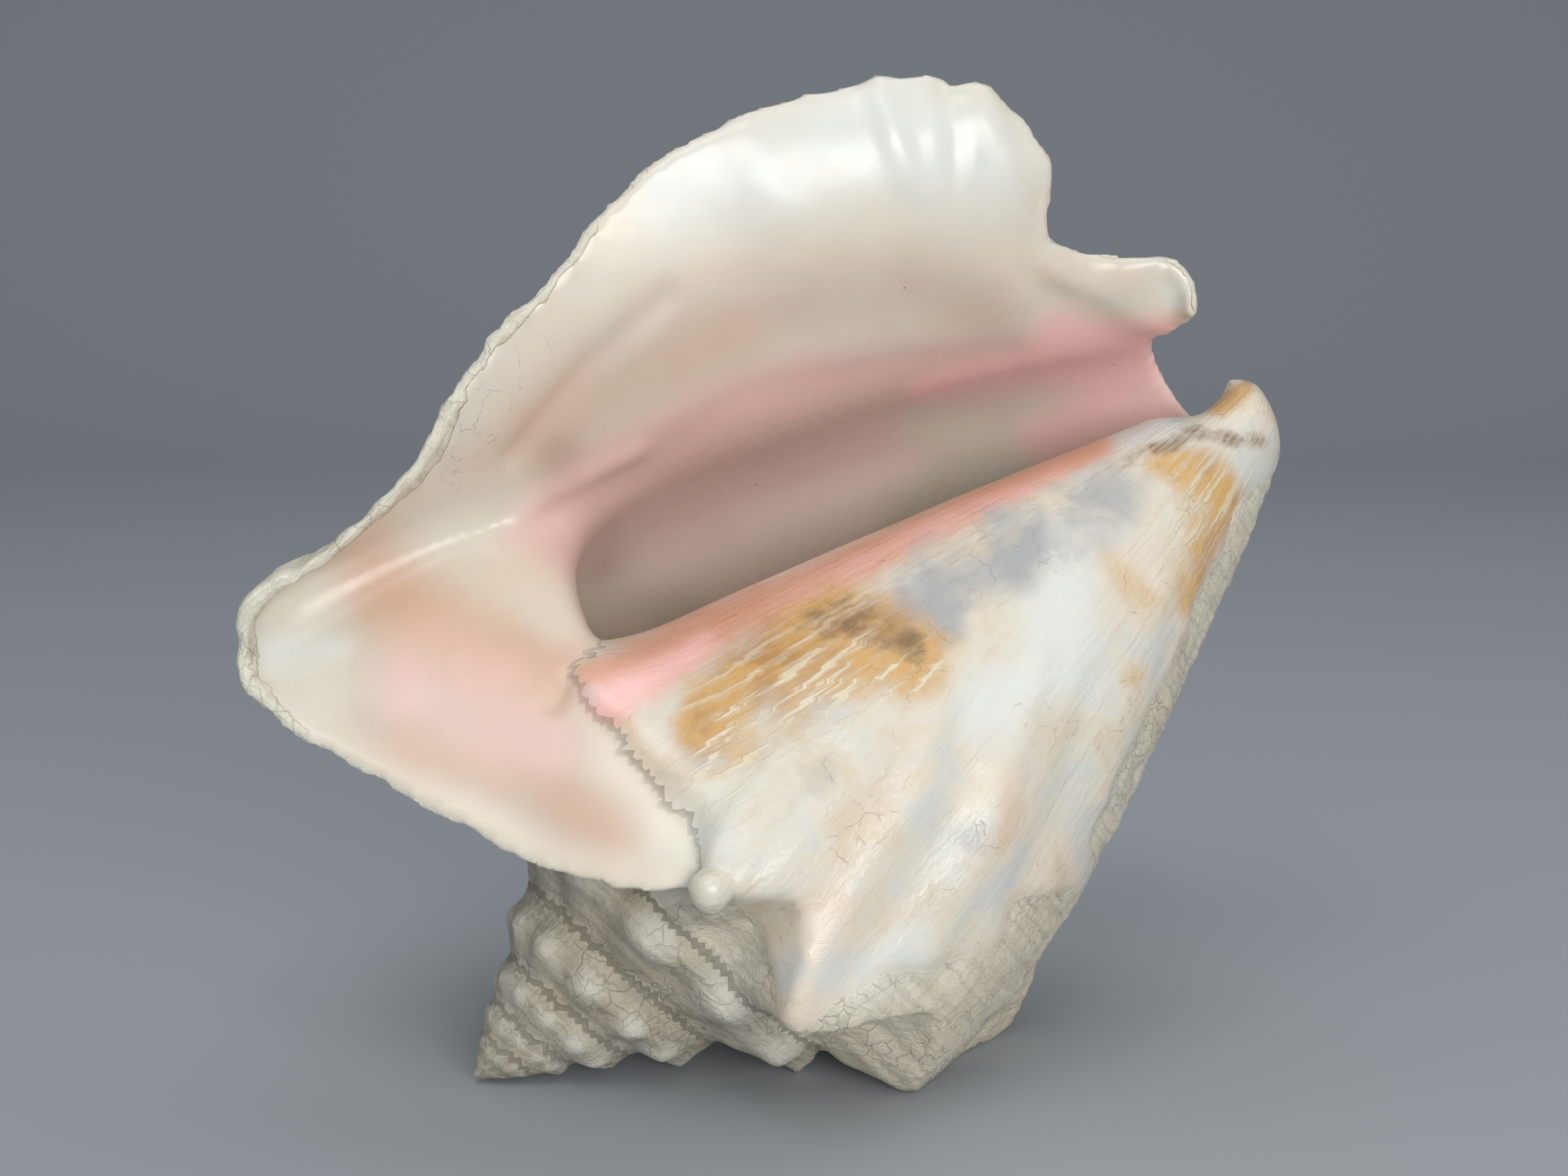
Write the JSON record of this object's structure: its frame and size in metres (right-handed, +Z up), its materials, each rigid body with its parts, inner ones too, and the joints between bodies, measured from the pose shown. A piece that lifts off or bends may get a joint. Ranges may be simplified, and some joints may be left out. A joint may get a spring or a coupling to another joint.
{
  "type": "conch shell",
  "caption": "Large conch shell lying on its spines, with a coiled pointed spire, a broad flared lip, an open curved aperture, a short front canal and blunt shoulder spines.",
  "frame": {"origin": "centre of the bounding box on the surface that the shell rests on", "axes": "+X to the right in the picture, from the spire's tip to the front canal's side, +Y away from the viewer, towards the shell's back, +Z up"},
  "size_m": [0.2254, 0.1526, 0.216],
  "materials": {
    "shell": "satin"
  },
  "bodies": {
    "root": {"conch_shell": "shell"}
  },
  "joints": []
}
